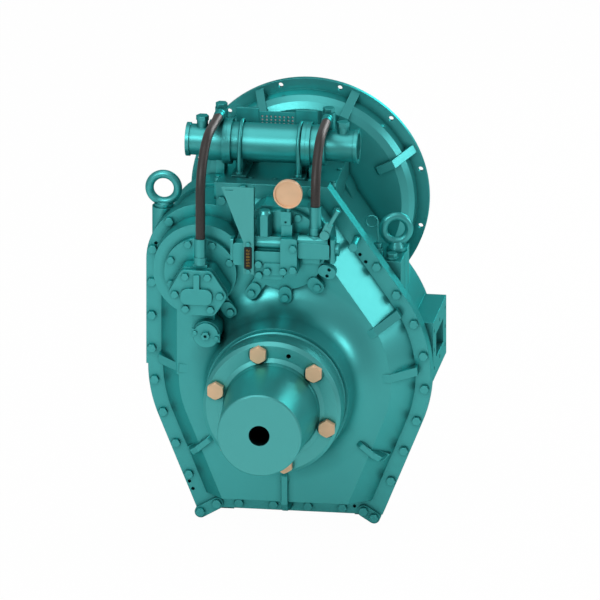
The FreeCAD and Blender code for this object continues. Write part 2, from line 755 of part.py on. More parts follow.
def clutch_drum(x, z, phase):
    """A clutch's outer drum, open towards the pinion, with the transfer gear on its closed end."""
    teeth = gear(transfer_module, transfer_teeth, transfer_back, transfer_back + transfer_width, x, z, phase)
    drum = revolve_y([(shaft_radius, clutch_back + 70), (drum_radius - drum_wall, clutch_back + 70),
                      (drum_radius - drum_wall, clutch_back), (drum_radius, clutch_back),
                      (drum_radius, transfer_back), (shaft_radius, transfer_back)], x, z)
    drum = drum.cut(revolve_y([(54, clutch_back + 84), (78, clutch_back + 84), (78, transfer_back - 12),
                               (54, transfer_back - 12)], x, z))
    bore = cyl_y(shaft_radius, transfer_back - 1, transfer_back + transfer_width + 1, x, z)
    pockets = [cyl_y(13, transfer_back + 0.01, transfer_back + transfer_width + 1, a, b)
               for a, b in ring_places(6, 66, 0, x, z)]
    return fuse(drum, teeth.cut(compound([bore] + pockets)))


def plate_y(k):
    return clutch_back + 4 + k * (plate_thick + plate_gap)


def steel_plates(x, z):
    inner = 64.0
    return compound([ring_y(drum_radius - drum_wall, inner, plate_y(k), plate_y(k) + plate_thick, x, z)
                     for k in range(1, 2 * plate_pairs - 3, 2)])


def friction_plates(x, z):
    outer = drum_radius - drum_wall - 2
    return compound([ring_y(outer, hub_outer, plate_y(k), plate_y(k) + plate_thick, x, z)
                     for k in range(0, 2 * plate_pairs - 3, 2)])


def pinion(x, z, phase):
    """A free pinion and the clutch hub on its front end, in one piece."""
    teeth = gear(main_module, pinion_teeth, gear_back, pinion_front, x, z, phase)
    sleeve = cyl_y(50, pinion_front, clutch_back + 1, x, z)
    hub = cyl_y(hub_outer, clutch_back + 1, plate_y(2 * plate_pairs - 4) + plate_thick, x, z)
    body = fuse(teeth, sleeve, hub)
    return body.cut(cyl_y(pinion_bore, gear_back - 1, clutch_back + 90, x, z))


def output_gear():
    teeth = gear(main_module, gear_teeth, gear_back, pinion_front, 0, out_z, gear_phase)
    shape = teeth.cut(cyl_y(output_shaft_radius, gear_back - 1, pinion_front + 1, 0, out_z))
    groove = ring_y(205, 105, gear_back - 1, gear_back + 28, 0, out_z)
    other = ring_y(205, 105, pinion_front - 28, pinion_front + 1, 0, out_z)
    windows = compound([cyl_y(32, gear_back, pinion_front, x, z)
                        for x, z in ring_places(6, 155, 0, 0, out_z)])
    return shape.cut(groove).cut(other).cut(windows)


def output_shaft():
    return cyl_y(output_shaft_radius, coupling_joint + 8, output_front_y + output_bearing_width, 0, out_z)


def output_flange():
    shape = revolve_y([(output_shaft_radius, coupling_joint), (coupling_radius, coupling_joint),
                       (coupling_radius, coupling_joint + 26), (coupling_radius - 6, output_flange_back),
                       (92, output_flange_back), (86, dome_back - 13.6), (output_shaft_radius, dome_back - 13.6)],
                      0, out_z)
    plug = cyl_y(output_shaft_radius, coupling_joint, coupling_joint + 8, 0, out_z)
    shape = fuse(shape, plug)
    return shape.cut(compound([cyl_y(coupling_bolt[0] + seat_gap, coupling_joint - 1, output_flange_back + 1,
                                     x, z) for x, z in coupling_places]))


coupling_places = ring_places(coupling_bolt_count, coupling_bolt_circle, coupling_turn, 0, out_z)
jack_places = ring_places(2, coupling_bolt_circle, 73, 0, out_z)


def propeller_coupling():
    back = coupling_joint - coupling_flange_thick
    shape = revolve_y([(0, coupling_front), (hub_radius - 3, coupling_front), (hub_radius, coupling_front + 3),
                       (hub_root_radius, back - 14), (hub_root_radius + 4, back - 4),
                       (hub_root_radius + 14, back), (coupling_radius - 10, back), (coupling_radius - 2, back + 9),
                       (coupling_radius, coupling_joint), (0, coupling_joint)], 0, out_z)
    shape = shape.cut(cyl_y(pilot_bore_radius, coupling_front - 1, coupling_front + pilot_depth, 0, out_z))
    shape = shape.cut(compound([cyl_y(5.5, back - 1, coupling_joint + 1, x, z) for x, z in jack_places]))
    seats = compound([cyl_y(coupling_bolt[1] * 1.3, back - 40, back + 1.5, x, z) for x, z in coupling_places])
    holes = compound([cyl_y(coupling_bolt[0] + seat_gap, back - 1, coupling_joint + 1, x, z)
                      for x, z in coupling_places])
    return shape.cut(seats).cut(holes)


def coupling_bolts():
    y = coupling_joint - coupling_flange_thick + 1.5
    items = []
    for x, z in coupling_places:
        bolt = bolt_back(coupling_bolt, x, z, y, output_flange_back - y, 90)
        items.append(bolt)
    return compound(items)


# Oil pump, driven off the reverse clutch's shaft
pump_gear_back = pump_back + 18
pump_gear_front = valve_front - 22
pump_idler_z = counter_z - pump_module * pump_teeth
pump_cover_places = [(-219.0, -52.0), (-167.0, -52.0), (-138.5, -96.0), (-160.0, -130.0), (-218.0, -130.0),
                     (-243.0, -96.0)]
pump_lobe = 15.0


def lobed_plate(places, radius, y0, y1):
    """A plate round a ring of bolts, with a rounded corner at each."""
    sides = [capsule_xz((a, b), radius, y0, y1) for a, b in zip(places, places[1:] + places[:1])]
    return fuse(prism_xz(places, y0, y1), *sides)


def pump_body():
    block = lobed_plate(pump_cover_places, pump_lobe + 2, pump_back + 16, valve_front)
    neck = box(counter_x - 12, counter_x + 40, pump_back + 22, valve_front, strainer_z, -120)
    bowl = cyl_y(32, strainer_back, valve_front, strainer_x, strainer_z)
    port = box(left_hose_x - 17, left_hose_x + 17, pump_back + 16, left_hose_y + 17, counter_z, left_ferrule_z)
    shape = fuse(block, neck, bowl, port)
    tip = pump_module * pump_teeth / 2 + 0.8 * pump_module + run_gap
    chamber = [cyl_y(tip, pump_gear_back - run_gap, pump_gear_front + run_gap, counter_x, z)
               for z in (counter_z, pump_idler_z)]
    opening = [cyl_y(tip, pump_back + 15, pump_gear_back, counter_x, z) for z in (counter_z, pump_idler_z)]
    drive = cyl_y(pump_drive + 0.3, pump_gear_front, valve_front + 1, counter_x, counter_z)
    seat = cyl_y(9.05, pump_gear_front, pump_gear_front + 12, counter_x, pump_idler_z)
    cavity = cyl_y(20, strainer_back - 1, strainer_back + 9, strainer_x, strainer_z)
    bolts = holes_y(cover_bolt, pump_cover_places, pump_back, pump_back + 42)
    small = holes_y(small_bolt, strainer_places, strainer_back - 1, strainer_back + 16)
    bore = cyl_z(5.5, left_ferrule_z - 20, left_ferrule_z + 1, left_hose_x, left_hose_y)
    dome = output_dome()
    heads = compound([cyl_y(cover_bolt[1] * 1.3, valve_front - 8, valve_front + 1, x, z)
                      for x, z in counter_cover_places])
    for item in (fuse(*chamber), fuse(*opening), drive, seat, cavity, bolts, small, bore, dome, heads):
        shape = shape.cut(item)
    return shape


strainer_x = -170.0
strainer_z = -190.0
strainer_back = -500.0
strainer_places = [(strainer_x - 25, strainer_z + 6), (strainer_x + 25, strainer_z - 6)]
left_ferrule_z = -28.0
right_ferrule_z = 50.0


def pump_cover():
    plate = lobed_plate(pump_cover_places, pump_lobe, pump_back, pump_back + 16)
    raised = box(-229, -156, pump_back - 7, pump_back, -118, -80)
    raised = rounded(raised, 15, along_y)
    neck = box(-199, -185, pump_back - 7, pump_back, -90, -47)
    shape = fuse(plate, raised, neck)
    seat = cyl_y(9.05, pump_back + 6, pump_back + 17, counter_x, pump_idler_z)
    drive = cyl_y(pump_drive + 0.3, pump_back + 8, pump_back + 17, counter_x, counter_z)
    return shape.cut(seat).cut(drive).cut(holes_y(cover_bolt, pump_cover_places, pump_back - 1, pump_back + 17))


def pump_bolts():
    return bolts_back(cover_bolt, pump_cover_places, pump_back, 40)


def strainer_cover():
    plate = cyl_y(29, strainer_back - 7, strainer_back, strainer_x, strainer_z)
    ears = prism_xz([(strainer_x - 33, strainer_z + 16), (strainer_x + 33, strainer_z + 4),
                     (strainer_x + 33, strainer_z - 16), (strainer_x - 33, strainer_z - 4)],
                    strainer_back - 7, strainer_back)
    plug = hexagon_y(9, strainer_back - 15, strainer_back - 7, strainer_x, strainer_z)
    shape = fuse(plate, ears, plug)
    return shape.cut(holes_y(small_bolt, strainer_places, strainer_back - 8, strainer_back + 1)).cut(
        cyl_y(3.5, strainer_back - 16, strainer_back - 8, strainer_x, strainer_z))


def strainer_bolts():
    return bolts_back(small_bolt, strainer_places, strainer_back - 7, 20)


def pump_gear():
    teeth = gear(pump_module, pump_teeth, pump_gear_back, pump_gear_front, counter_x, counter_z, 0)
    return teeth.cut(cyl_y(pump_drive, pump_gear_back - 1, pump_gear_front + 1, counter_x, counter_z))


def pump_idler():
    phase = mate_phase(0, pump_teeth, pump_teeth, -90)
    teeth = gear(pump_module, pump_teeth, pump_gear_back, pump_gear_front, counter_x, pump_idler_z, phase)
    return fuse(teeth, cyl_y(9, pump_back + 7, pump_gear_front + 11, counter_x, pump_idler_z))


# Control valve on the input shaft's rear cover
valve_back = -474.0
lever_x = 101.0
lever_z = 57.0
gauge_x = 14.4
gauge_z = 146.6
tower_gap = 1.0
tower_radius = 9.0
lever_bar = 44.0
lever_bar_angle = 62.0
gauge_radius = 33.5
valve_bolt_places = [(-52, -22), (-51, -48), (6, -34), (29, -30), (29, 22), (-31, -37)]
valve_bolt_backs = (valve_back, valve_back, valve_back - 8, valve_back - 8, valve_back - 8, valve_back - 4)
post_x = (-3.0, 21.0)
post_z = (44.0, 72.0, 104.0)
breather_half = 15.0
breather_x = -41.0
plate_bolt_places = [(-75.0, 28.0), (-75.0, -38.0)]
bracket_back = valve_back - 9.0


def valve_body():
    """The control valve's casting, with its rounded spool bore along the top."""
    front = rounded(box(-62, 4, valve_back, valve_front, -58, 9), 4, along_y)
    lower = rounded(box(-40, 4, valve_back - 4, valve_front, -47, -18), 4, along_y)
    spool = cyl_x(15, -62, 4, valve_front - 19, 22)
    seat = box(-62, 4, valve_front - 30, valve_front, 5, 41)
    core = rounded(box(-1, 38, valve_back - 8, valve_front, -44, 44), 4, along_y)
    shape = fuse(front, lower, spool, seat, core)
    return shape.cut(holes_y(cover_bolt, valve_bolt_places, -500, valve_front + 1))


def valve_bolts():
    return compound([bolt_back(cover_bolt, x, z, y, valve_front - y)
                     for (x, z), y in zip(valve_bolt_places, valve_bolt_backs)])


def left_valve():
    block = rounded(box(-112, -70, valve_back + 6, valve_front - 7, -29, 25), 6, along_y)
    end = rounded(box(-119, -112, valve_back + 8, valve_front - 9, -20, 33), 3, along_x)
    neck = cyl_x(9, -70, -62, valve_back + 26, -14)
    return fuse(block, end, neck)


def right_valve():
    block = rounded(box(38, 112, valve_back, valve_front - 2, -4, 33), 5, along_y)
    spool = cyl_x(12, 38, 108, valve_back + 12, 37)
    port = cyl_z(18, 30, right_ferrule_z, right_hose_x, right_hose_y)
    foot = box(46, 86, valve_front - 20, valve_front, -24, -3)
    tower = fuse(cyl_z(tower_radius, 24, 50, lever_x + tower_gap, valve_back + 20),
                 cyl_y(tower_radius, valve_back + 6, valve_back + 34, lever_x + tower_gap, lever_z))
    shape = fuse(block, spool, port, foot, tower)
    heads = compound([cyl_y(cover_bolt[1] * 1.3, valve_front - 8, valve_front + 1, a, b)
                      for a, b in input_cover_places])
    shape = shape.cut(heads).cut(cyl_z(7, right_ferrule_z - 20, right_ferrule_z + 1, right_hose_x, right_hose_y))
    return shape.cut(cyl_y(6 + journal_gap, valve_back + 5, valve_back + 35, lever_x + tower_gap, lever_z))


def valve_end_flange():
    plate = rounded(box(112, 124, valve_back + 2, valve_front - 6, -14, 43), 5, upright_edge)
    return fuse(plate, cyl_x(15, 124, 132, valve_back + 22, 15))


def control_lever():
    """Stem through the valve's tower, a flat arm behind it and a round bar on the arm."""
    x = lever_x + tower_gap
    stem = cyl_y(6, valve_back - 10, valve_back + 36, x, lever_z)
    hub = cyl_y(11, valve_back - 10, valve_back + 2, x, lever_z)
    arm = prism_xz([(x - 9, lever_z + 5), (x + 9, lever_z - 5), (x + 19, lever_z + 24), (x + 4, lever_z + 32)],
                   valve_back - 7, valve_back - 1)
    slope = math.radians(lever_bar_angle)
    bar = Part.makeCylinder(5, lever_bar, vec(x + 10, valve_back - 4, lever_z + 22),
                            vec(math.cos(slope), 0, math.sin(slope)))
    return fuse(stem, hub, arm, bar)


def gauge_post():
    lower = box(post_x[0] + 2, post_x[1] + 3, valve_back + 12, valve_back + 34, post_z[0], post_z[1])
    upper = box(post_x[0], post_x[1], valve_back + 10, valve_back + 32, post_z[1], post_z[2])
    stem = cyl_z(5, post_z[2], gauge_z - gauge_radius + 4, gauge_x, valve_back + 16)
    stem = stem.cut(cyl_y(gauge_radius + seat_gap, valve_back, valve_front, gauge_x, gauge_z))
    return fuse(lower, upper, stem).cut(cyl_y(2.6, valve_back + 9, valve_back + 14, 9, 79))


def pressure_gauge():
    case = cyl_y(gauge_radius - 1, valve_back + 12, valve_back + 24, gauge_x, gauge_z)
    rim = ring_y(gauge_radius, gauge_radius - 3.5, valve_back + 8, valve_back + 14, gauge_x, gauge_z)
    return fuse(case, rim)


def breather():
    """A tall hexagonal cap with its corners turned off, on a short neck from the cover."""
    y = valve_front - 22
    corners = [polar(breather_half / math.cos(math.pi / 6), 60 * k, breather_x, y) for k in range(6)]
    points = [vec(a, b, 42) for a, b in corners]
    cap = Part.Face(Part.makePolygon(points + points[:1])).extrude(vec(0, 0, 60))
    cap = cap.common(Part.makeCone(breather_half + 24, breather_half - 3, 60, vec(breather_x, y, 42), vec(0, 0, 1)))
    return fuse(cap, cyl_y(9, valve_front - 22, valve_front, breather_x, 52))


def cable_bracket():
    outline = [(-138, 165), (-62, 165), (-62, -45), (-86, -45), (-86, 31)]
    sheet = prism_xz(outline, bracket_back, bracket_back + 3)
    fold = box(-65, -62, bracket_back + 3, bracket_back + 21, -22, 165)
    foot = box(-86, -66, bracket_back + 3, valve_back + 6, -26, 10)
    slot = box(-128, -110, bracket_back - 1, bracket_back + 4, 156, 159)
    return fuse(sheet, fold, foot).cut(slot).cut(holes_y(small_bolt, plate_bolt_places, bracket_back - 1,
                                                           bracket_back + 2.6))


def indicator_plate():
    plate = rounded(box(-84, -66.5, bracket_back - 2.5, bracket_back, -31, 21), 3, along_y)
    return plate


def plate_bolts():
    return bolts_back(small_bolt, plate_bolt_places, bracket_back, 2.5)


lift_ring_radius = 33.0
lift_rod_radius = 9.8


def lifting_eye(place, ring_radius, rise, turn):
    x, y, z = place
    centre = ring_radius + rise
    ring = Part.makeTorus(ring_radius, lift_rod_radius, vec(0, 0, centre), vec(0, 1, 0))
    collar = cyl_z(lift_rod_radius + 12, 0, 7)
    neck = Part.makeCone(lift_rod_radius + 9, lift_rod_radius + 1, rise, vec(0, 0, 7), vec(0, 0, 1))
    neck = neck.cut(cyl_y(ring_radius, -40, 40, 0, centre))
    shank = cyl_z(eye_shank_radius, -40, 0)
    shape = fuse(ring, collar, neck, shank)
    shape.rotate(vec(0, 0, 0), vec(0, 0, 1), turn)
    shape.translate(vec(x, y, z))
    return shape


def lifting_eyes():
    return compound([lifting_eye(left_eye, lift_ring_radius, 10, 0),
                     lifting_eye(right_eye, 30.0, 22, 12)])


def dipstick_tube():
    tube = fuse(cyl_z(dipstick_tube_radius, -110, dipstick_top, dipstick_x, dipstick_y),
                cyl_z(12, dipstick_top - 8, dipstick_top - 3, dipstick_x, dipstick_y))
    return tube.cut(cyl_z(4.5, -120, dipstick_top + 1, dipstick_x, dipstick_y))


dipstick_top = -46.0


def dipstick():
    rod = cyl_z(2.5, -330, dipstick_top + 3, dipstick_x, dipstick_y)
    cap = cyl_z(9, dipstick_top, dipstick_top + 9, dipstick_x, dipstick_y)
    wire = cyl_z(dipstick_wire, dipstick_top, dipstick_loop_z, dipstick_x, dipstick_y)
    loop = Part.makeTorus(dipstick_loop, dipstick_wire + 0.2, vec(dipstick_x - dipstick_loop, dipstick_y, dipstick_loop_z),
                          vec(0, 1, 0))
    return fuse(rod, cap, wire, loop)


def filler_plug():
    stem = cyl_z(8, filler_z - 30, filler_z, filler_x, filler_y)
    return fuse(stem, cyl_z(15, filler_z, filler_z + 5, filler_x, filler_y),
                bolt_down((8.0, 11.0, 9.0), filler_x, filler_y, filler_z + 5, 5))


# Oil cooler
saddle_y = (cooler_y - 32, cooler_y + 32)


def cooler_shell():
    shell = cyl_x(cooler_radius, cooler_left, cooler_right, cooler_y, cooler_z)
    rings = [cyl_x(cooler_radius + 8, x, x + 10, cooler_y, cooler_z) for x in (cooler_left, cooler_right - 10)]
    shell = fuse(shell, *rings)
    bore = cyl_x(cooler_radius - 5, cooler_left - 1, cooler_right + 1, cooler_y, cooler_z)
    return shell.cut(bore)


def tube_bundle():
    sheets = [cyl_x(cooler_radius - 5, x, x + 6, cooler_y, cooler_z) for x in (cooler_left, cooler_right - 6)]
    tubes = [cyl_x(4, cooler_left, cooler_right, cooler_y, cooler_z)]
    for count, radius in ((6, 12), (12, 24), (16, 34)):
        for k in range(count):
            a = 2 * math.pi * k / count
            tubes.append(cyl_x(4, cooler_left, cooler_right, cooler_y + radius * math.cos(a),
                               cooler_z + radius * math.sin(a)))
    bores = [cyl_x(2.8, cooler_left - 1, cooler_right + 1, t.BoundBox.Center.y, t.BoundBox.Center.z) for t in tubes]
    return fuse(*(sheets + tubes)).cut(compound(bores))


def bonnet(side):
    """An end chamber of the cooler, its water port pointing outwards."""
    inner, outer = (cooler_left, port_left) if side < 0 else (cooler_right, port_right)
    mid = inner + side * bonnet_length
    x0, x1 = sorted((inner, mid))
    body = cyl_x(cooler_radius + 2, x0, x1, cooler_y, cooler_z)
    ring = cyl_x(cooler_radius + 8, *sorted((inner, inner + side * 10)), cooler_y, cooler_z)
    port = cyl_x(port_radius, *sorted((mid, outer)), cooler_y, cooler_z)
    lip = cyl_x(port_radius + 3, *sorted((outer - side * 9, outer)), cooler_y, cooler_z)
    top = cyl_z(15, cooler_z + 20, hose_top - 9, banjo_x(side), banjo_y)
    anode = cyl_z(13, cooler_z + 20, cooler_z + 49, anode_x(side), cooler_y - 4)
    feet = box(*sorted((inner + side * 6, inner + side * 26)), cooler_y - 26, cooler_y + 26, cover_top, cooler_z - 30)
    shape = fuse(body, ring, port, lip, top, anode, feet)
    room = fuse(cyl_x(cooler_radius - 5, *sorted((inner, mid - side * 6)), cooler_y, cooler_z),
                cyl_x(port_bore_radius, *sorted((mid - side * 20, outer + side)), cooler_y, cooler_z))
    drill = cyl_z(7, cooler_z + 20, hose_top, banjo_x(side), banjo_y)
    plug = cyl_z(8, cooler_z + 20, cooler_z + 60, anode_x(side), cooler_y - 4)
    return shape.cut(room).cut(drill).cut(plug)


banjo_y = -206.0


def banjo_x(side):
    return left_banjo_x if side < 0 else right_banjo_x


def anode_x(side):
    return cooler_left - 60 if side < 0 else cooler_right + 82


def anode_plugs():
    items = []
    for side in (-1, 1):
        items.append(bolt_down((8.0, 13.0, 11.0), anode_x(side), cooler_y - 4, cooler_z + 49, 30))
    return compound(items)


def banjo_fittings():
    items = []
    for x in (left_banjo_x, right_banjo_x):
        eye = cyl_z(15, hose_top - 9, hose_top + 9, x, banjo_y)
        tail = cyl_y(7, hose_end_y, banjo_y, x, hose_top)
        items.append(fuse(eye, tail).cut(cyl_z(8, hose_top - 10, hose_top + 10, x, banjo_y)))
    return compound(items)


def banjo_bolts():
    return compound([bolt_down((7.0, 12.0, 11.0), x, banjo_y, hose_top + 9, 34)
                     for x in (left_banjo_x, right_banjo_x)])


def cooler_saddles():
    items = []
    for x in saddle_x:
        block = box(x - 5.5, x + 5.5, saddle_y[0], saddle_y[1], cover_top, cooler_z - 20)
        base = box(x - 17, x + 17, box_back, bracket_y - 1.5, cover_top, cover_top + 8)
        gusset = fuse(block, base)
        gusset = gusset.cut(cyl_x(cooler_radius, x - 30, x + 30, cooler_y, cooler_z))
        gusset = gusset.cut(compound([cyl_z(strap_rod + seat_gap, cover_top - 1, cover_top + 9, x, y)
                                      for y in strap_legs]))
        items.append(gusset)
    return compound(items)


strap_bend = cooler_radius + strap_rod + 0.1
strap_legs = (cooler_y - strap_bend, cooler_y + strap_bend)


def cooler_straps():
    items = []
    for x in saddle_x:
        arch = Part.makeTorus(strap_bend, strap_rod, vec(x, cooler_y, cooler_z), vec(1, 0, 0))
        arch = arch.common(box(x - 20, x + 20, cooler_y - 70, cooler_y + 70, cooler_z, cooler_z + 70))
        legs = [cyl_z(strap_rod, cover_top, cooler_z, x, y) for y in strap_legs]
        nuts = [cyl_z(8.5, cover_top + 8, cover_top + 15, x, y) for y in strap_legs]
        items.append(fuse(arch, *legs, *nuts))
    return compound(items)


bracket_y = -171.0
guard_z = (176.0, 245.0)


def cooler_brackets():
    items = []
    for x0, x1 in ((-148, -96), (-10, 41)):
        plate = box(x0, x1, bracket_y, bracket_y + 7, cover_top, 252)
        foot = box(x0, x1, bracket_y, bracket_y + 30, cover_top, cover_top + 7)
        web = box(x0 + 4, x0 + 10, bracket_y + 7, bracket_y + 30, cover_top, 244)
        other = web.translated(vec(x1 - x0 - 14, 0, 0))
        items.append(fuse(plate, foot, web, other))
    return compound(items)


def perforated_guard():
    plate = box(-96, -10, bracket_y + 1, bracket_y + 4, guard_z[0], guard_z[1])
    holes = []
    for i in range(8):
        for j in range(3):
            holes.append(cyl_y(2.6, bracket_y, bracket_y + 5, -88 + 10 * i, guard_z[1] - 12 - 8 * j))
    return plate.cut(compound(holes))


def hose_heading(x, y, end_x):
    """Level unit vector from the hose's lower end to its upper end."""
    reach = math.hypot(end_x - x, hose_end_y - y)
    return vec((end_x - x) / reach, (hose_end_y - y) / reach, 0)


def hose(x, y, z0, end_x):
    """A pressure hose from its lower fitting up over one bend to the cooler."""
    heading = hose_heading(x, y, end_x)
    z1 = hose_top - hose_bend
    k = hose_bend * (1 - math.cos(math.pi / 4))
    foot = vec(x, y, 0)
    middle = foot + heading * k + vec(0, 0, hose_top - k)
    over = foot + heading * hose_bend + vec(0, 0, hose_top)
    end = vec(end_x, hose_end_y, hose_top) - heading * hose_sleeve
    path = Part.Wire([Part.makeLine(vec(x, y, z0), vec(x, y, z1)), Part.Arc(vec(x, y, z1), middle, over).toShape(),
                      Part.makeLine(over, end)])
    ring = Part.Wire([Part.makeCircle(hose_radius, vec(x, y, z0), vec(0, 0, 1))])
    return path.makePipeShell([ring], True, False)


def upper_sleeve(x, y, end_x):
    heading = hose_heading(x, y, end_x)
    end = vec(end_x, hose_end_y, hose_top)
    sleeve = fuse(Part.makeCylinder(12, hose_sleeve, end - heading * hose_sleeve, heading),
                  Part.makeCylinder(13, 9, end - heading * 9, heading))
    return sleeve.cut(cyl_y(7, hose_end_y - 3, banjo_y, end_x, hose_top))


left_hose_start = 34.0
right_hose_start = 118.0


def ferrule(x, y, z0, z1):
    return fuse(cyl_z(13.5, z0, z1, x, y), cyl_z(15, z0, z0 + 18, x, y))


def hose_ferrules():
    items = [ferrule(left_hose_x, left_hose_y, left_ferrule_z, left_hose_start),
             ferrule(right_hose_x, right_hose_y, right_ferrule_z, right_hose_start),
             upper_sleeve(left_hose_x, left_hose_y, left_banjo_x),
             upper_sleeve(right_hose_x, right_hose_y, right_banjo_x)]
    return compound(items)


def casing_bolts():
    flange = split_plane - flange_thick
    plain = [p for p in flange_bolt_places if p != tall_bolt]
    x, z = tall_bolt
    sleeve = cyl_y(8.5, flange - tall_bolt_rise, flange, x, z)
    tall = fuse(sleeve, bolt_back(flange_bolt, x, z, flange - tall_bolt_rise, tall_bolt_rise + 2 * flange_thick))
    return compound([bolts_back(flange_bolt, plain, flange, 2 * flange_thick), tall,
                     bolts_back(flange_bolt, lug_places, lug_back, 22)])


def oil_hoses():
    return compound([hose(left_hose_x, left_hose_y, left_hose_start, left_banjo_x),
                     hose(right_hose_x, right_hose_y, right_hose_start, right_banjo_x)])


def bearing_outer_rings():
    return compound([shaft_bearings_outer(), output_bearings_outer()])


def cover_bolts():
    return compound([bell_bolts(), output_cover_bolts(), pump_bolts(), valve_bolts(),
                     bolts_back(cover_bolt, input_cover_places, valve_front, 30),
                     bolts_back(cover_bolt, lobe_places, lobe_back, lobe_grip - 1),
                     bolts_back(cover_bolt, counter_cover_places, valve_front, 30)])


def small_screws():
    return compound([cover_screws(), front_cover_bolts(), strainer_bolts(), plate_bolts()])


def screw_plugs():
    return compound([anode_plugs(), filler_plug()])


def all_parts():
    phase_f = mate_phase(gear_phase, gear_teeth, pinion_teeth, 90.0)
    phase_r = mate_phase(gear_phase, gear_teeth, pinion_teeth, 90.0 + math.degrees(swing))
    toward = math.degrees(math.atan2(counter_z, counter_x))
    phase_t = mate_phase(input_phase, transfer_teeth, transfer_teeth, toward)
    c = (counter_x, counter_z)
    made = {
        "main_casing": main_casing, "rear_casing": rear_casing, "bell_housing": bell_housing,
        "top_cover": top_cover, "small_screws": small_screws, "cover_bolts": cover_bolts,
        "output_bearing_cover": output_bearing_cover,
        "input_rear_cover": input_rear_cover, "counter_rear_cover": counter_rear_cover,
        "input_bearing_cover": input_bearing_cover, "bearing_outer_rings": bearing_outer_rings,
        "input_bearings_inner": lambda: shaft_bearings_inner(0, 0),
        "counter_bearings_inner": lambda: shaft_bearings_inner(*c),
        "output_bearings_inner": output_bearings_inner,
        "input_shaft": input_shaft, "counter_shaft": counter_shaft,
        "forward_drum": lambda: clutch_drum(0, 0, input_phase),
        "reverse_drum": lambda: clutch_drum(c[0], c[1], phase_t),
        "forward_steel_plates": lambda: steel_plates(0, 0), "reverse_steel_plates": lambda: steel_plates(*c),
        "forward_friction_plates": lambda: friction_plates(0, 0),
        "reverse_friction_plates": lambda: friction_plates(*c),
        "forward_pinion": lambda: pinion(0, 0, phase_f), "reverse_pinion": lambda: pinion(c[0], c[1], phase_r),
        "output_gear": output_gear, "output_shaft": output_shaft, "output_flange": output_flange,
        "propeller_coupling": propeller_coupling, "coupling_bolts": coupling_bolts,
        "pump_body": pump_body, "pump_cover": pump_cover,
        "strainer_cover": strainer_cover, "pump_gear": pump_gear,
        "pump_idler": pump_idler, "valve_body": valve_body,
        "left_valve": left_valve, "right_valve": right_valve, "valve_end_flange": valve_end_flange,
        "control_lever": control_lever, "gauge_post": gauge_post, "pressure_gauge": pressure_gauge,
        "breather": breather, "cable_bracket": cable_bracket, "indicator_plate": indicator_plate,
        "lifting_eyes": lifting_eyes, "dipstick_tube": dipstick_tube, "dipstick": dipstick,
        "screw_plugs": screw_plugs, "cooler_shell": cooler_shell, "tube_bundle": tube_bundle,
        "cooler_left_bonnet": lambda: bonnet(-1), "cooler_right_bonnet": lambda: bonnet(1),
        "banjo_fittings": banjo_fittings, "banjo_bolts": banjo_bolts,
        "cooler_straps": cooler_straps,
        "cooler_brackets": lambda: compound([cooler_saddles(), cooler_brackets()]),
        "perforated_guard": perforated_guard, "casing_bolts": casing_bolts,
        "oil_hoses": oil_hoses,
        "hose_ferrules": hose_ferrules,
    }
    for name, make in made.items():
        shape = save(name, make())
        b = shape.BoundBox
        print(name, [round(v) for v in (b.XMin, b.XMax, b.YMin, b.YMax, b.ZMin, b.ZMax)], len(shape.Solids))


all_parts()
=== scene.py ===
import math
import bmesh
import bpy
from mathutils import Matrix, Vector


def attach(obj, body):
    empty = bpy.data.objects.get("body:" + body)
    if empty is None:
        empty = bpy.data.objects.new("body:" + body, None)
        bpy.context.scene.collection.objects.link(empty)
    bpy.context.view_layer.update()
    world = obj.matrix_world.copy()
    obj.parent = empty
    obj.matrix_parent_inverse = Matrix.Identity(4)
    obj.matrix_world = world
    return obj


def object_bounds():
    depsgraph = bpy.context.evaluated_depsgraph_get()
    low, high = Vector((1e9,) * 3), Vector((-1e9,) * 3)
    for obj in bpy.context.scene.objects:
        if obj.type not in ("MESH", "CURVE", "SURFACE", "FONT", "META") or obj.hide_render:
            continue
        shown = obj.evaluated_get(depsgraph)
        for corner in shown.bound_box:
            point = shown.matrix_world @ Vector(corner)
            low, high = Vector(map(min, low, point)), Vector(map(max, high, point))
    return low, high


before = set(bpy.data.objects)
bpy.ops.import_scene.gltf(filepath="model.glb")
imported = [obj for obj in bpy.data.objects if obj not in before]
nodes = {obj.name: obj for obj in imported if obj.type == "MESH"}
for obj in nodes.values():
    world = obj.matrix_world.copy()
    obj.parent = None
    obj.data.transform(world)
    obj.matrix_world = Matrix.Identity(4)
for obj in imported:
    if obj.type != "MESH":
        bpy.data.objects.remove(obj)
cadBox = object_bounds()
print("frame loaded:", len(nodes), "nodes")


def linear(hexColour):
    # sRGB hex to linear
    out = []
    for k in (1, 3, 5):
        c = int(hexColour[k:k + 2], 16) / 255
        out.append(c / 12.92 if c <= 0.04045 else ((c + 0.055) / 1.055) ** 2.4)
    return (*out, 1.0)


def addNode(tree, kind, inputs=None, **settings):
    node = tree.nodes.new(kind)
    for name, value in settings.items():
        setattr(node, name, value)
    for name, value in (inputs or {}).items():
        socket = node.inputs[name]
        if isinstance(value, bpy.types.NodeSocket):
            tree.links.new(value, socket)
        else:
            socket.default_value = value
    return node


def newMaterial(name):
    material = bpy.data.materials.new(name)
    material.use_nodes = True
    tree = material.node_tree
    tree.nodes.clear()
    shader = addNode(tree, "ShaderNodeBsdfPrincipled")
    output = addNode(tree, "ShaderNodeOutputMaterial")
    tree.links.new(shader.outputs[0], output.inputs[0])
    return material, tree, shader


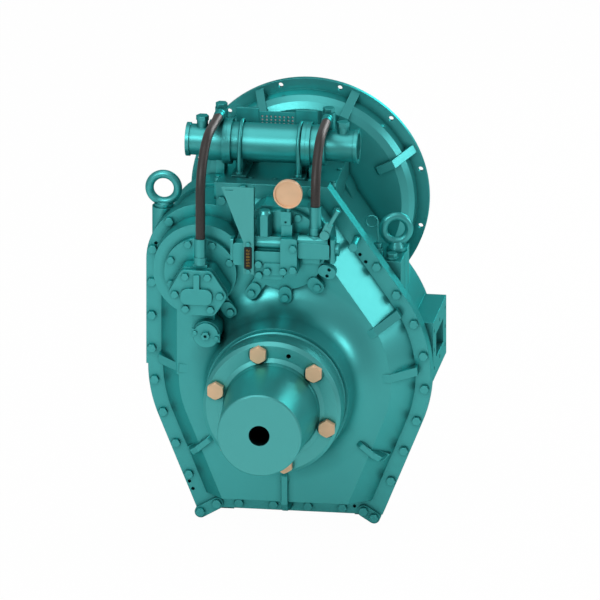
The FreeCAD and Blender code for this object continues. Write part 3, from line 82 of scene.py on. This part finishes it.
# Metallic machinery enamel sprayed over sand-cast iron: an even teal whose flakes tint what it mirrors,
# slightly pebbled, with painted shade darkening its corners and painted shadow, black, inside small
# holes
enamelSettings = {
    "colour": "#52B9B9",
    "thin": "#5ABFBD",
    # painted shade: the colour that corners darken towards
    "shade": "#226C6B",
    # painted shadow: the black of small holes
    "hollow": "#030606",
    "flake": 0.88,               # how far the flakes mirror like metal
    "ior": 1.5,
    "roughness": 0.37,
    "roughSpread": (-0.03, 0.05),
    "patchMm": 111.1,            # patches of thinner paint
    "patchRange": (0.35, 0.7),
    "patchShare": 0.22,
    "grainMm": 2.2,              # the casting's skin under the paint, coarser than sand so that it shows
    "grainRange": (0.3, 0.7),
    "grainStrength": 0.35,
    "grainDepth": 0.00012,
    "edgeMm": 1.6,               # how far an edge is rounded by the casting and the paint
    "cornerMm": 16.0,            # how far out of a corner the painted shade reaches
    "cornerRange": (0.35, 0.95),
    "cornerShare": 0.75,
    "hollowRange": (0.10, 0.30),
}

# The same enamel on machined steel: a little lighter, with crisper edges and hardly any grain
machinedEnamel = dict(enamelSettings, colour="#5DBCBB", edgeMm=1.0)
machinedGrain = 0.3


def makeEnamel(name, s, grain=1.0):
    material, tree, shader = newMaterial(name)
    place = addNode(tree, "ShaderNodeTexCoord").outputs["Object"]
    patchScale = 1000 / s["patchMm"]
    broad = addNode(tree, "ShaderNodeTexNoise", {"Vector": place, "Scale": patchScale, "Detail": 3.0})
    tone = addNode(tree, "ShaderNodeMapRange", {
        "Value": broad.outputs["Fac"], "From Min": s["patchRange"][0], "From Max": s["patchRange"][1],
        "To Min": 0.0, "To Max": s["patchShare"]})
    mix = addNode(tree, "ShaderNodeMixRGB", {"Fac": tone.outputs[0], "Color1": linear(s["colour"]),
                                             "Color2": linear(s["thin"])})
    # painted shade: darker towards corners by ambient occlusion, and black deep in small holes as
    # painted shadow
    corner = addNode(tree, "ShaderNodeAmbientOcclusion", {"Distance": s["cornerMm"] / 1000}, samples=4)
    cornerShade = addNode(tree, "ShaderNodeMapRange", {
        "Value": corner.outputs["AO"], "From Min": s["cornerRange"][0], "From Max": s["cornerRange"][1],
        "To Min": s["cornerShare"], "To Max": 0.0})
    full = addNode(tree, "ShaderNodeMixRGB", {"Fac": cornerShade.outputs[0], "Color1": mix.outputs[0],
                                              "Color2": linear(s["shade"])})
    deep = addNode(tree, "ShaderNodeMapRange", {
        "Value": corner.outputs["AO"], "From Min": s["hollowRange"][0], "From Max": s["hollowRange"][1],
        "To Min": 1.0, "To Max": 0.0})
    hollow = addNode(tree, "ShaderNodeMixRGB", {"Fac": deep.outputs[0], "Color1": full.outputs[0],
                                                "Color2": linear(s["hollow"])})
    tree.links.new(hollow.outputs[0], shader.inputs["Base Color"])
    grainScale = 1000 / s["grainMm"]
    fine = addNode(tree, "ShaderNodeTexNoise", {"Vector": place, "Scale": grainScale, "Detail": 2.0})
    gloss = addNode(tree, "ShaderNodeMapRange", {
        "Value": fine.outputs["Fac"], "From Min": s["grainRange"][0], "From Max": s["grainRange"][1],
        "To Min": s["roughness"] + s["roughSpread"][0], "To Max": s["roughness"] + s["roughSpread"][1]})
    tree.links.new(gloss.outputs[0], shader.inputs["Roughness"])
    rounding = addNode(tree, "ShaderNodeBevel", {"Radius": s["edgeMm"] / 1000}, samples=4)
    bump = addNode(tree, "ShaderNodeBump", {"Height": fine.outputs["Fac"], "Distance": s["grainDepth"],
                                            "Strength": s["grainStrength"] * grain,
                                            "Normal": rounding.outputs[0]})
    tree.links.new(bump.outputs[0], shader.inputs["Normal"])
    shader.inputs["IOR"].default_value = s["ior"]
    shader.inputs["Metallic"].default_value = s["flake"]
    shader.inputs["Specular Tint"].default_value = linear(s["thin"])
    return material


# Painted shadow in the coupling's bore, which runs into the dark of the hub: its wall is darkened from a
# little inside its mouth
boreSettings = {
    "z": -0.320,
    "radius": 0.0245,
    "mouth": -0.8185,
    "fade": 0.03,
    "share": (0.8, 1.0),
    # the painted shadow's colour
    "colour": "#020303",
}


def paintBoreShadow(material, s):
    tree = material.node_tree
    shader = next(n for n in tree.nodes if n.type == "BSDF_PRINCIPLED")
    place = addNode(tree, "ShaderNodeTexCoord").outputs["Object"]
    parts = addNode(tree, "ShaderNodeSeparateXYZ", {0: place})
    up = addNode(tree, "ShaderNodeMath", {0: parts.outputs["Z"], 1: s["z"]}, operation="SUBTRACT")
    flat = addNode(tree, "ShaderNodeCombineXYZ", {"X": parts.outputs["X"], "Y": up.outputs[0]})
    far = addNode(tree, "ShaderNodeVectorMath", {0: flat.outputs[0]}, operation="LENGTH")
    within = addNode(tree, "ShaderNodeMath", {0: far.outputs["Value"], 1: s["radius"]},
                     operation="LESS_THAN")
    inside = addNode(tree, "ShaderNodeMapRange", {
        "Value": parts.outputs["Y"], "From Min": s["mouth"], "From Max": s["mouth"] + s["fade"],
        "To Min": s["share"][0], "To Max": s["share"][1]})
    share = addNode(tree, "ShaderNodeMath", {0: within.outputs[0], 1: inside.outputs[0]},
                    operation="MULTIPLY")
    colour = shader.inputs["Base Color"].links[0].from_socket
    dark = addNode(tree, "ShaderNodeMixRGB", {"Fac": share.outputs[0], "Color1": colour,
                                              "Color2": linear(s["colour"])})
    tree.links.new(dark.outputs[0], shader.inputs["Base Color"])


# What the metals and the stove enamels share: fine marks, a slow change of tone and softly broken edges
metalSettings = {
    "grainMm": 0.8,     # coarser than real tool marks, so that they show from near by
    "grainRange": (0.3, 0.7),
    "scratch": 0.15,    # how much the marks change the roughness
    "patchMm": 33.33,
    "patchShade": 0.82,
    "edge": 0.0008,
    "markStrength": 0.1,
    "markDepth": 0.0001,
}


def makeMetal(name, colour, metallic, roughness, s=metalSettings):
    material, tree, shader = newMaterial(name)
    place = addNode(tree, "ShaderNodeTexCoord").outputs["Object"]
    grainScale = 1000 / s["grainMm"]
    fine = addNode(tree, "ShaderNodeTexNoise", {"Vector": place, "Scale": grainScale, "Detail": 3.0})
    gloss = addNode(tree, "ShaderNodeMapRange", {
        "Value": fine.outputs["Fac"], "From Min": s["grainRange"][0], "From Max": s["grainRange"][1],
        "To Min": roughness * (1 - s["scratch"]), "To Max": roughness * (1 + s["scratch"])})
    tree.links.new(gloss.outputs[0], shader.inputs["Roughness"])
    patchScale = 1000 / s["patchMm"]
    broad = addNode(tree, "ShaderNodeTexNoise", {"Vector": place, "Scale": patchScale, "Detail": 2.0})
    dark = tuple(c * s["patchShade"] for c in linear(colour)[:3]) + (1.0,)
    tone = addNode(tree, "ShaderNodeMixRGB", {"Fac": broad.outputs["Fac"], "Color1": linear(colour),
                                              "Color2": dark})
    tree.links.new(tone.outputs[0], shader.inputs["Base Color"])
    edge = addNode(tree, "ShaderNodeBevel", {"Radius": s["edge"]}, samples=4)
    bump = addNode(tree, "ShaderNodeBump", {"Height": fine.outputs["Fac"], "Strength": s["markStrength"],
                                            "Distance": s["markDepth"], "Normal": edge.outputs[0]})
    tree.links.new(bump.outputs[0], shader.inputs["Normal"])
    shader.inputs["Metallic"].default_value = metallic
    return material


castEnamel = makeEnamel("gloss enamel on cast iron", enamelSettings)
smoothEnamel = makeEnamel("gloss enamel on machined steel", machinedEnamel, machinedGrain)
couplingEnamel = makeEnamel("gloss enamel on the machined coupling", machinedEnamel, machinedGrain)
# painted shadow inside the coupling's bore
paintBoreShadow(couplingEnamel, boreSettings)

# Forged bolts and a spun gauge case with a thin copper flash, which gives them a dull pale pink
copperPlate = makeMetal("copper-flashed steel", "#FFD3AA", 0.3, 0.42)
# Bearing steel, ground nearly to a mirror
groundSteel = makeMetal("ground bearing steel", "#B9BBBE", 1.0, 0.22)
# Hobbed and turned gear steel, greyer, with a soft sheen
gearSteel = makeMetal("machined gear steel", "#8E9093", 1.0, 0.34)
# Sintered clutch lining, a matt brown-yellow
bronzeLining = makeMetal("sintered bronze", "#9A7B52", 1.0, 0.5)
# Drawn tubes of the cooler, with a warm even gloss
copperTube = makeMetal("drawn copper tube", "#B9785A", 1.0, 0.3)
# Stove enamels of the small plates: nearly black, yellow in the figures, white behind the guard
blackEnamel = makeMetal("black enamelled plate", "#050505", 0.0, 0.55)
yellowEnamel = makeMetal("yellow enamelled figures", "#C9A227", 0.0, 0.5)
whiteEnamel = makeMetal("white enamelled backing", "#FFFFFF", 0.0, 0.6)

# Braided hose cover: dark rubber with a fine weave that only shows as a soft sheen
hoseSettings = {
    "colour": "#2B2726",
    "light": "#3E3937",
    "roughness": 0.42,
    "threadMm": 3.0,  # coarser than a real braid's threads, so that they show
    "threadRange": (0.1, 0.7),
    "threadShare": 0.5,
    "threadStrength": 0.3,
    "threadDepth": 0.0004,
}


def makeHoseRubber(s):
    material, tree, shader = newMaterial("braided rubber hose")
    place = addNode(tree, "ShaderNodeTexCoord").outputs["Object"]
    weave = addNode(tree, "ShaderNodeTexVoronoi", {"Vector": place, "Scale": 1000 / s["threadMm"]})
    height = weave.outputs["Distance"]
    tone = addNode(tree, "ShaderNodeMapRange", {
        "Value": height, "From Min": s["threadRange"][0], "From Max": s["threadRange"][1],
        "To Min": 0.0, "To Max": s["threadShare"]})
    mix = addNode(tree, "ShaderNodeMixRGB", {"Fac": tone.outputs[0], "Color1": linear(s["colour"]),
                                             "Color2": linear(s["light"])})
    tree.links.new(mix.outputs[0], shader.inputs["Base Color"])
    bump = addNode(tree, "ShaderNodeBump", {"Height": height, "Strength": s["threadStrength"],
                                            "Distance": s["threadDepth"]})
    tree.links.new(bump.outputs[0], shader.inputs["Normal"])
    shader.inputs["Roughness"].default_value = s["roughness"]
    return material


hoseRubber = makeHoseRubber(hoseSettings)
print("materials made")

# Every node that isn't named here is a painted casting or a painted fitting
nodesByMaterial = {
    copperPlate: ("coupling_bolts", "pressure_gauge"),
    groundSteel: ("bearing_outer_rings", "output_bearings_inner", "input_bearings_inner",
                  "counter_bearings_inner", "forward_steel_plates", "reverse_steel_plates"),
    gearSteel: ("output_gear", "output_shaft", "input_shaft", "forward_drum", "counter_shaft",
                "reverse_drum", "pump_gear", "pump_idler", "forward_pinion", "reverse_pinion"),
    bronzeLining: ("forward_friction_plates", "reverse_friction_plates"),
    copperTube: ("tube_bundle",),
    blackEnamel: ("indicator_plate",),
    hoseRubber: ("oil_hoses",),
    couplingEnamel: ("propeller_coupling", "output_flange"),
    smoothEnamel: ("control_lever", "cable_bracket"),
}
materialByNode = {name: material for material, names in nodesByMaterial.items() for name in names}
for name, node in nodes.items():
    material = materialByNode.get(name, castEnamel)
    if node.data.materials:
        for materialSlot in node.material_slots:
            materialSlot.link = "OBJECT"
            materialSlot.material = material
    else:
        node.data.materials.append(material)
print("finishes given to the nodes")


def newPiece(name, bm, material, body):
    mesh = bpy.data.meshes.new(name)
    bmesh.ops.recalc_face_normals(bm, faces=bm.faces)
    bm.to_mesh(mesh)
    bm.free()
    mesh.materials.append(material)
    piece = bpy.data.objects.new(name, mesh)
    bpy.context.scene.collection.objects.link(piece)
    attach(piece, body)
    return piece


def addPrism(bm, outline, vector, bevel):
    # a closed outline drawn out along a vector, with every edge broken
    low = [bm.verts.new(p) for p in outline]
    face = bm.faces.new(low)
    grown = bmesh.ops.extrude_face_region(bm, geom=[face])["geom"]
    high = [g for g in grown if isinstance(g, bmesh.types.BMVert)]
    bmesh.ops.translate(bm, verts=high, vec=vector)
    edges = {e for v in low + high for e in v.link_edges}
    bmesh.ops.bevel(bm, geom=list(edges), offset=bevel, segments=2, affect="EDGES", profile=0.5,
                    material=-1)


# Gussets that stand on the lower wall of the rear casing, from its flat out to its flange
gussetSettings = {
    # by degrees about the output shaft, how far out the foot ends
    "reach": {-90: 0.331, -139: 0.300, -40: 0.300},
    "root": 0.213,
    "wall": -0.4115,      # the flat of the casing
    "crest": -0.4230,
    "foot": -0.3400,      # just inside the flange
    "rise": 0.019,        # from the root out to the crest
    "fall": (0.030, 0.012),  # from the end back to the crest and to the wall
    "lean": 0.0015,       # how much lower the outer end of the crest is
    "toe": 0.023,
    "thick": 0.015,
    "axisZ": -0.320,
    "bevel": 0.0022,
}


def makeGussets(s):
    bm = bmesh.new()
    for angle, end in s["reach"].items():
        a = math.radians(angle)
        outward = Vector((math.cos(a), 0, math.sin(a)))
        side = Vector((-math.sin(a), 0, math.cos(a)))
        base = Vector((0, 0, s["axisZ"])) - side * s["thick"] / 2
        profile = (
            (s["root"], s["wall"]),
            (s["root"] + s["rise"], s["crest"]),
            (end - s["fall"][0], s["crest"] + s["lean"]),
            (end - s["fall"][1], s["wall"] + s["lean"]),
            (end, s["foot"] - s["toe"]),
            (end, s["foot"]),
            (s["root"], s["foot"]),
        )
        outline = [base + outward * r + Vector((0, y, 0)) for r, y in profile]
        addPrism(bm, outline, side * s["thick"], s["bevel"])
    return newPiece("lowerGussets", bm, castEnamel, "gearbox")


# Plain figures on the black plate, which say nothing: strokes under a millimetre wide that read upwards
figureSettings = {
    "figures": "350802",
    "strokes": {"0": "abcdef", "2": "abged", "3": "abgcd", "5": "afgcd", "8": "abcdefg"},
    "x": -0.0753,
    "front": -0.4855,
    "bottom": -0.0262,
    "pitch": 0.0075,
    "tall": 0.0062,
    "wide": 0.0036,
    "stroke": 0.0007,
    "sink": 0.0001,       # the strokes' foot lies this deep in the plate
    "raise": 0.0004,
    "bevel": 0.0001,
}
# by stroke: how far along and how far up the figure its middle is, and whether it lies level
strokePlaces = {
    "a": (0.5, 1.0, True), "g": (0.5, 0.5, True), "d": (0.5, 0.0, True), "b": (1.0, 0.75, False),
    "c": (1.0, 0.25, False), "f": (0.0, 0.75, False), "e": (0.0, 0.25, False),
}


def makeFigures(s):
    bm = bmesh.new()
    for k, figure in enumerate(s["figures"]):
        for letter in s["strokes"][figure]:
            along, up, level = strokePlaces[letter]
            z = s["bottom"] + k * s["pitch"] + along * s["wide"]
            x = s["x"] + s["tall"] / 2 - up * s["tall"]
            halfX = s["stroke"] / 2 if level else s["tall"] / 4
            halfZ = s["wide"] / 2 if level else s["stroke"] / 2
            y = s["front"] + s["sink"]
            outline = [(x - halfX, y, z - halfZ), (x + halfX, y, z - halfZ), (x + halfX, y, z + halfZ),
                       (x - halfX, y, z + halfZ)]
            addPrism(bm, outline, (0, -s["raise"], 0), s["bevel"])
    return newPiece("plateFigures", bm, yellowEnamel, "gearbox")


# White strip behind the holes of the perforated guard
stripSettings = {
    "x": (-0.0935, -0.0125),
    "y": (-0.1665, -0.1655),
    "z": (0.2115, 0.2395),
    "corner": 0.003,
    "cornerSteps": 3,
    "bevel": 0.0002,
}


def makeStrip(s):
    bm = bmesh.new()
    left, right = s["x"][0] + s["corner"], s["x"][1] - s["corner"]
    low, high = s["z"][0] + s["corner"], s["z"][1] - s["corner"]
    outline = []
    for k, (x, z) in enumerate(((right, high), (left, high), (left, low), (right, low))):
        for step in range(s["cornerSteps"] + 1):
            a = math.radians(90 * (k + step / s["cornerSteps"]))
            outline.append((x + s["corner"] * math.cos(a), s["y"][0], z + s["corner"] * math.sin(a)))
    addPrism(bm, outline, (0, s["y"][1] - s["y"][0], 0), s["bevel"])
    return newPiece("guardBacking", bm, whiteEnamel, "gearbox")


makeGussets(gussetSettings)
makeFigures(figureSettings)
makeStrip(stripSettings)
print("dressing pieces made")


# The photograph has no perspective, so the camera is orthographic, with directions measured on it
cameraSettings = {
    "right": (0.98937, 0.14540, 0.0),
    "up": (-0.04671, 0.31786, 0.94698),
    "forward": (-0.13769, 0.93692, -0.32128),
    "middle": (-0.01325, -0.08359, -0.23810),
    "distance": 3.0,
    "width": 1.3777,  # metres across the frame
}


def makeCamera(s):
    data = bpy.data.cameras.new("camera")
    data.type = "ORTHO"
    data.ortho_scale = s["width"]
    camera = bpy.data.objects.new("camera", data)
    bpy.context.scene.collection.objects.link(camera)
    forward = Vector(s["forward"])
    turn = Matrix((Vector(s["right"]), Vector(s["up"]), -forward)).transposed().to_4x4()
    turn.translation = Vector(s["middle"]) - s["distance"] * forward
    camera.matrix_world = turn
    bpy.context.scene.camera = camera


# Large soft boxes, mirrored in the gloss as even patches; level is their brightness, white paper being 1
lampTarget = (0.0, -0.3, -0.25)
frontTarget = (-0.3, -1.3, -0.6)  # the floor before the object, whose light the lower faces mirror
lightSettings = {
    "right box": {"place": (2.75, 0.30, 1.05), "size": 1.05, "level": 4.3, "aim": lampTarget},
    "top box": {"place": (-0.4, -0.8, 2.6), "size": 2.2, "level": 0.95, "aim": lampTarget},
    "back box": {"place": (1.15, 2.5, 0.95), "size": 1.3, "level": 4.6, "aim": lampTarget},
    "front box": {"place": (-1.2, -3.1, 1.7), "size": 1.5, "level": 5.0, "aim": frontTarget},
}


def makeLamp(name, s):
    data = bpy.data.lights.new(name, "AREA")
    data.size = s["size"]
    data.energy = s["level"] * math.pi * s["size"] ** 2
    lamp = bpy.data.objects.new(name, data)
    bpy.context.scene.collection.objects.link(lamp)
    lamp.location = s["place"]
    aim = Vector(s["aim"]) - Vector(s["place"])
    lamp.rotation_euler = aim.to_track_quat("-Z", "Y").to_euler()


worldLevel = 0.40  # the studio's dim walls; the camera alone sees them white


def makeWorld(strength):
    world = bpy.data.worlds.new("studio")
    world.use_nodes = True
    tree = world.node_tree
    tree.nodes.clear()
    rays = addNode(tree, "ShaderNodeLightPath")
    soft = addNode(tree, "ShaderNodeBackground", {"Color": (1, 1, 1, 1), "Strength": strength})
    white = addNode(tree, "ShaderNodeBackground", {"Color": (1, 1, 1, 1), "Strength": 1.0})
    mix = addNode(tree, "ShaderNodeMixShader", {0: rays.outputs["Is Camera Ray"], 1: soft.outputs[0],
                                                2: white.outputs[0]})
    output = addNode(tree, "ShaderNodeOutputWorld")
    tree.links.new(mix.outputs[0], output.inputs[0])
    bpy.context.scene.world = world


floorSettings = {
    "drop": 0.0005,       # below the lowest point of the object
    "half": 6.0,
    "colour": "#F4F4F2",
    "roughness": 0.9,
    "whiteShare": 0.985,  # how much of plain white the camera sees in it, over the shadow
}


def makeFloor(height, s):
    mesh = bpy.data.meshes.new("floor")
    bm = bmesh.new()
    bmesh.ops.create_grid(bm, x_segments=1, y_segments=1, size=s["half"])
    bmesh.ops.translate(bm, verts=bm.verts, vec=(0, 0, height))
    bm.to_mesh(mesh)
    bm.free()
    floor = bpy.data.objects.new("floor", mesh)
    bpy.context.scene.collection.objects.link(floor)
    material, tree, shader = newMaterial("pale studio floor")
    shader.inputs["Base Color"].default_value = linear(s["colour"])
    shader.inputs["Roughness"].default_value = s["roughness"]
    rays = addNode(tree, "ShaderNodeLightPath")
    white = addNode(tree, "ShaderNodeEmission", {"Color": (1, 1, 1, 1), "Strength": 1.0})
    share = addNode(tree, "ShaderNodeMath", {0: rays.outputs["Is Camera Ray"], 1: s["whiteShare"]},
                    operation="MULTIPLY")
    mix = addNode(tree, "ShaderNodeMixShader", {0: share.outputs[0], 1: shader.outputs[0],
                                                2: white.outputs[0]})
    output = next(n for n in tree.nodes if n.type == "OUTPUT_MATERIAL")
    tree.links.new(mix.outputs[0], output.inputs[0])
    mesh.materials.append(material)


makeCamera(cameraSettings)
for lampName, lampSettings in lightSettings.items():
    makeLamp(lampName, lampSettings)
makeWorld(worldLevel)
makeFloor(cadBox[0][2] - floorSettings["drop"], floorSettings)
bpy.context.scene.view_settings.view_transform = "Standard"
print("camera, lights and floor ready")
